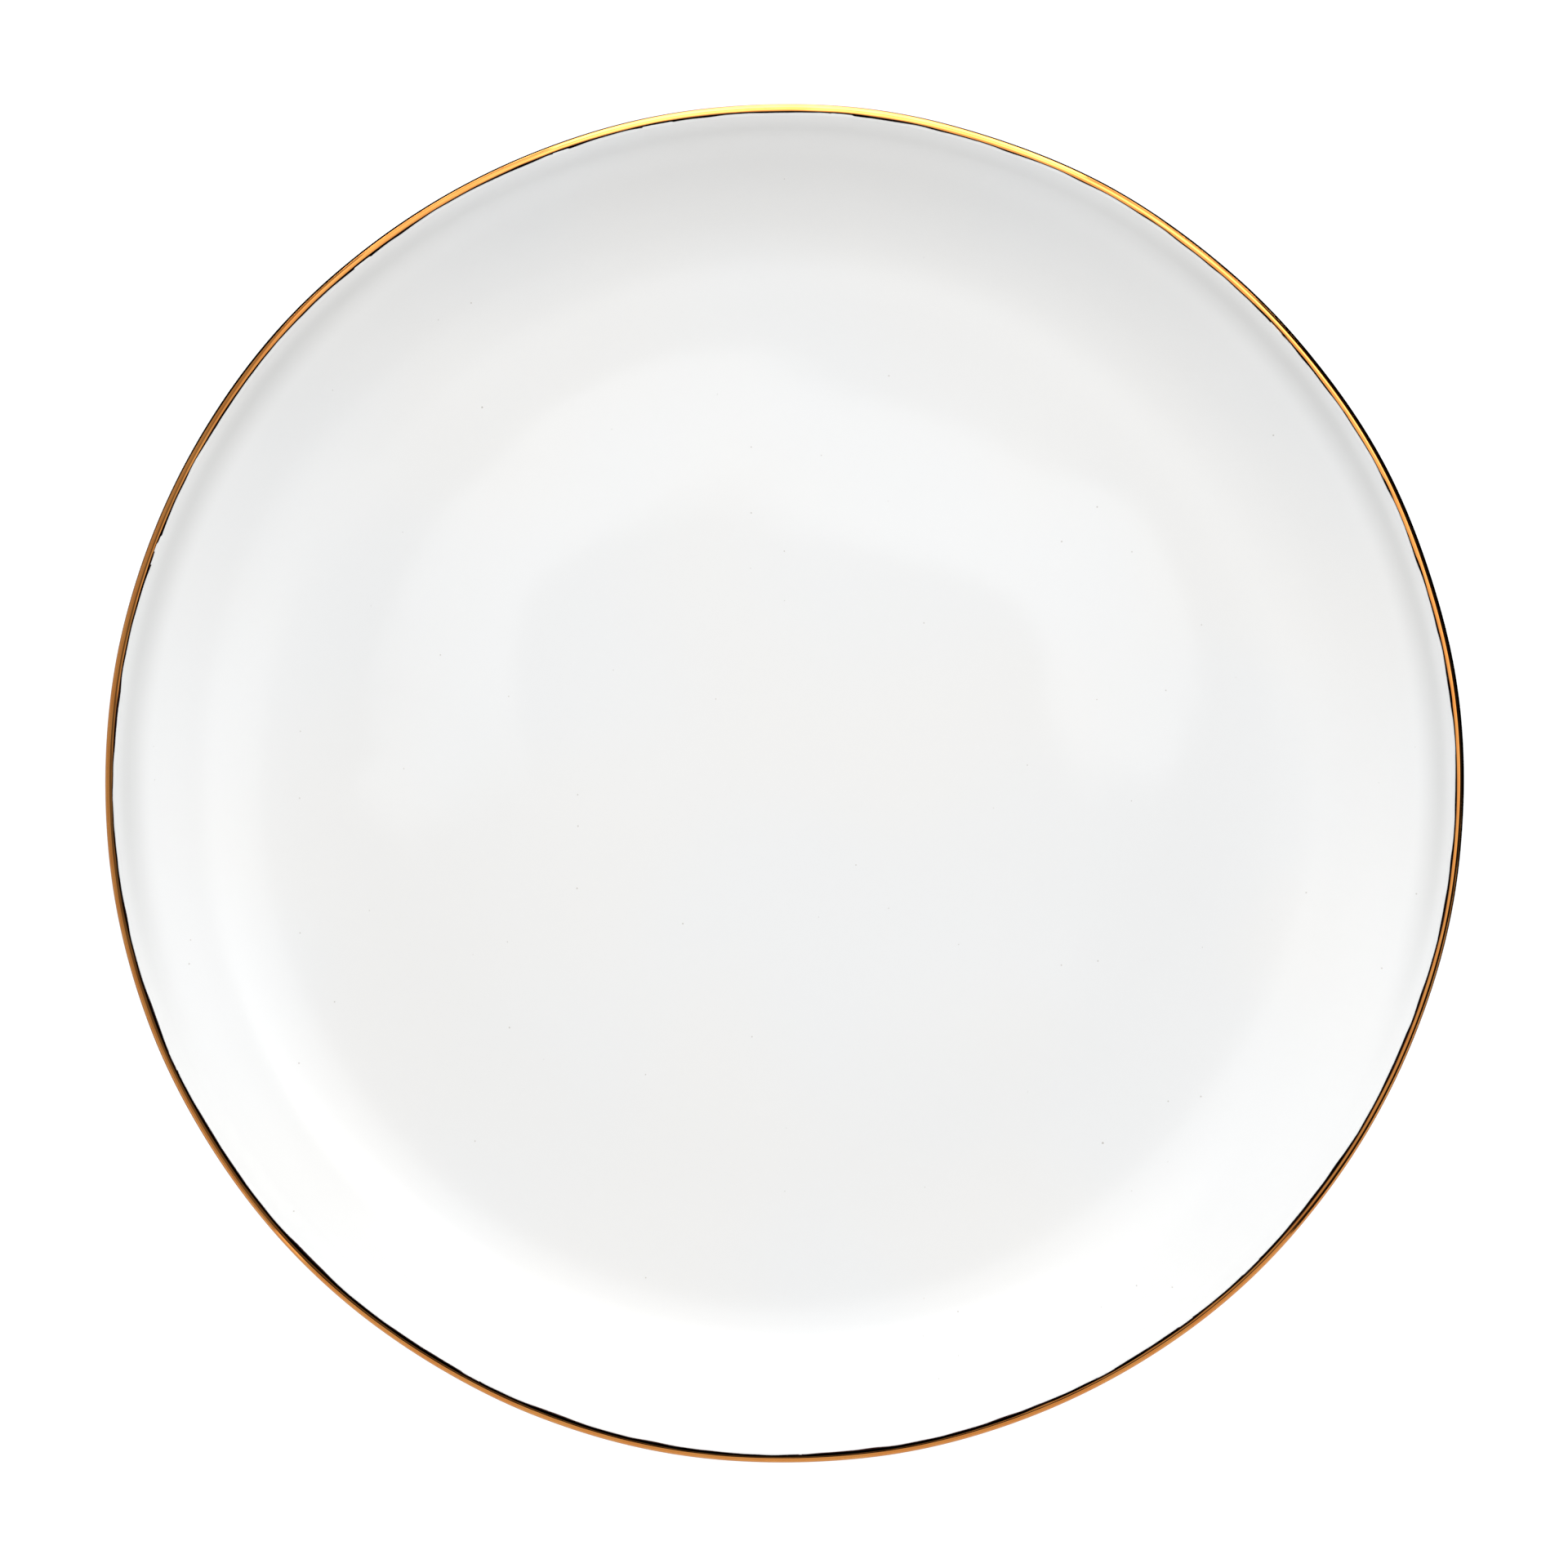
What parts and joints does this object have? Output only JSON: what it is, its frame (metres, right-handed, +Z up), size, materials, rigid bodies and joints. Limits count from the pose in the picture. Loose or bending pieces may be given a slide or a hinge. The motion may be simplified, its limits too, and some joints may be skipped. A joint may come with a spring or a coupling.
{
  "type": "dinner plate",
  "caption": "Round white porcelain coupe dinner plate with a gilded lip, a level well, a curved rising wall and a low foot ring.",
  "frame": {"origin": "centre of the foot ring's sole, on the table that the plate stands on", "axes": "+Z up along the plate's turning axis; +X and +Y are any two square directions across the plate"},
  "size_m": [0.27, 0.27, 0.026],
  "materials": {
    "porcelain_biscuit": "matte",
    "white_glaze": "gloss",
    "bright_gold": "polished"
  },
  "bodies": {
    "root": {"porcelain_body": "porcelain_biscuit", "face_glaze": "white_glaze", "back_glaze": "white_glaze", "foot_recess_glaze": "white_glaze", "gold_rim_band": "bright_gold"}
  },
  "joints": []
}
